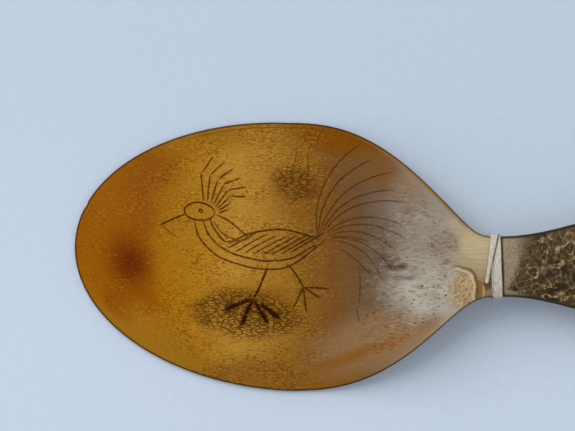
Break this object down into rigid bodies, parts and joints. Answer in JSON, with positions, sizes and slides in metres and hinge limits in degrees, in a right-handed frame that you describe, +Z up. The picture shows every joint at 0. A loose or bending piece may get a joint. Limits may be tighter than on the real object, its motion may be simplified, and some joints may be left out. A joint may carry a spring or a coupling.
{
  "type": "horn spoon",
  "caption": "Souvenir spoon of animal horn: a thin oval bowl whose neck is lapped on to a thicker, rough horn handle and bound with a flat strip.",
  "frame": {"origin": "centre of the spoon's plan at the surface it rests on, hollow side down", "axes": "+X from the bowl's tip towards the handle's end, +Z up, away from the resting surface and out of the bowl's convex side, +Y across"},
  "size_m": [0.19, 0.0538, 0.0121],
  "materials": {
    "bowl_horn": "scraped and polished translucent horn, golden brown, with a chalky skin near the neck",
    "handle_horn": "rough natural outer horn, grey-brown, wrinkled and pitted",
    "resin": "clear amber glue",
    "strip": "dry off-white raffia or rawhide"
  },
  "bodies": {
    "root": {"bowl": "bowl_horn", "handle": "handle_horn", "lap_resin": "resin", "neck_binding": "strip"}
  },
  "joints": []
}
